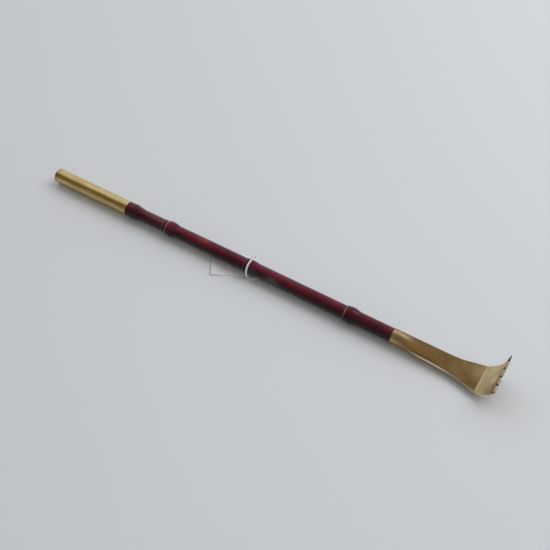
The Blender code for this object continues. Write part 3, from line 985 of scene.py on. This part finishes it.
def head_marks(side, share, run):
    """How much painted shade on the flat, painted light on the neck, brown patina, brightness and
    painted shade at the teeth the sheet has: run is the distance from the mouth.
    """
    along = run - FLAT_LENGTH
    far = (share + 1) / 2
    top = max(side, 0)
    fold = bell(abs(share), 1.0, FOLD_BRIGHT)
    near_fold = fold if share < 0 else 0.35 * fold
    to_notch = min(abs(share - cut) for cut in CUTS)
    to_edge = tooth_edge(share) - along

    # Painted shade darkens the flat, least at the crease and on its near edge, and the lip's near foot
    past_crease = eased(along, -0.0005, 0.0010)
    lighter = 0.35 * bell(along, -0.003, 0.010) * eased(share, -0.5, 0.3)
    flat = eased(run, 0.003, 0.024) * (1 - past_crease) * (1 - max(0.9 * near_fold, lighter))
    foot = 0.28 * (1 - 0.7 * far) * (1 - eased(along, 0.006, 0.014)) * past_crease
    # Painted light on the near side of the neck, on top
    neck = 0.65 * bell(run, 0.021, 0.017) * bell(share, -0.55, 0.42) * top

    # The lip is brown inside, more on its near half, and along the far teeth
    browned = eased(along, 0.003 + 0.011 * far, 0.010 + 0.015 * far) * (1 - 0.6 * far)
    inside = browned if side > 0 else 0.2
    rust = 0.75 * eased(share, 0.10, 0.50) * bell(to_edge, 0.0015, 0.0030) * top

    # Painted highlights, partly worn brass on the near edge and the crease, brighten the near edge, the
    # crease, the lip's far half and the hollow of its palm
    edge_light = near_fold * eased(run, 0.012, 0.034) * (1 - 0.65 * bell(run, 0.070, 0.014))
    crease = 0.6 * bell(along, 0.0, 0.0005) * top
    pale = 0.22 * eased(far, 0.45, 0.85) * eased(along, 0.003, 0.012) * top
    lit_near_half = 0.30 * eased(along, 0.008, 0.016) * (1 - eased(share, 0.2, 0.7)) * top
    palm = 0.65 * bell(share, -0.05, 0.40) * bell(along, 0.016, 0.005) * top

    # Painted shade darkens the notches and the far sliver of a tooth
    tooth_shading = max(bell(to_notch, 0.0, 0.055), 0.75 * eased(share, 0.90, 0.95))
    return {
        "flat_shade": max(flat, foot),
        "neck_light": neck,
        "patina": max(0.28 * inside * (1 - 0.55 * fold), rust),
        "bright": max(edge_light, crease, pale, lit_near_half, palm),
        "tooth_shade": tooth_shading * bell(max(0.0, to_edge), 0.0, 0.0014),
    }


def make_head(finish, cut_finish):
    """The head: a round socket, flattened, fanned out, creased and curled up into teeth."""
    columns = head_columns()
    count = 2 * len(columns) - 2
    rings = []
    marks = {"flat_shade": [], "neck_light": [], "patina": [], "bright": [], "tooth_shade": []}

    def add(ring, run):
        """run says how far along the sheet the ring is, at a share of the half width."""
        rings.append(ring)
        for side, shares in ((1, columns), (-1, columns[-2:0:-1])):
            for share in shares:
                for mark, value in head_marks(side, share, run(share)).items():
                    marks[mark].append(value)

    start = GAP / 4
    add(head_ring(columns, start, trim=RIM), lambda share: start)
    flat_end = FLAT_LENGTH - BEAD_WIDTH / 2
    stations = (*np.linspace(start + RIM, flat_end, 106), *np.linspace(flat_end, FLAT_LENGTH, 6)[1:])
    for at in stations:
        add(head_ring(columns, float(at)), lambda share: at)
    bead_share = BEAD_WIDTH / 2 / LIP_LENGTH
    ways = (*np.linspace(0, bead_share, 6)[1:], *np.linspace(bead_share, 1.0, 64)[1:])
    for way in ways:
        ring = lip_ring(columns, way, SHEET, BEVEL)
        add(ring, lambda share: FLAT_LENGTH + way * (tooth_edge(share) - BEVEL))
    add(lip_ring(columns, 1.0, SHEET - 2 * BEVEL, REST), lambda share: FLAT_LENGTH + tooth_edge(share))
    outer_last = len(rings) - 1
    add(head_ring(columns, start, WALL), lambda share: start)
    inner_first = len(rings) - 1
    for at in (*np.arange(CAVITY_START, CAVITY_END - 0.001, 0.003), CAVITY_END):
        add(head_ring(columns, float(at), WALL), lambda share: CAVITY_START)
    points = [p for ring in rings for p in ring]
    faces = []
    for r in range(outer_last):
        faces += between(r * count, (r + 1) * count, count)
    for r in range(inner_first, len(rings) - 1):
        faces += between(r * count, (r + 1) * count, count)
    faces += between(0, inner_first * count, count)
    plain = len(faces)
    for end in (outer_last * count, (len(rings) - 1) * count):
        for i in range(len(columns) - 1):
            below = (end + (count - i - 1) % count, end + (count - i) % count)
            faces.append(tuple(dict.fromkeys((end + i, end + i + 1, *below))))
    cut = [0] * plain + [1] * (len(columns) - 1) + [0] * (len(columns) - 1)
    head = make_piece("head", points, faces, [finish, cut_finish], marks, cut, sharp=40)
    stand_for(head, "scratcher_head")


# ---------------------------------------------------------------- making


make_camera()
cotton_finish = cotton()
string, string_path = make_string(cotton_finish)
knot = make_knot(cotton_finish)
tag = make_tag(card())
make_key_light()
make_room()
make_floor(floor_finish())
make_cap(polished_brass())
make_bamboo(lacquered_bamboo())
make_head(worn_brass(), cut_brass())
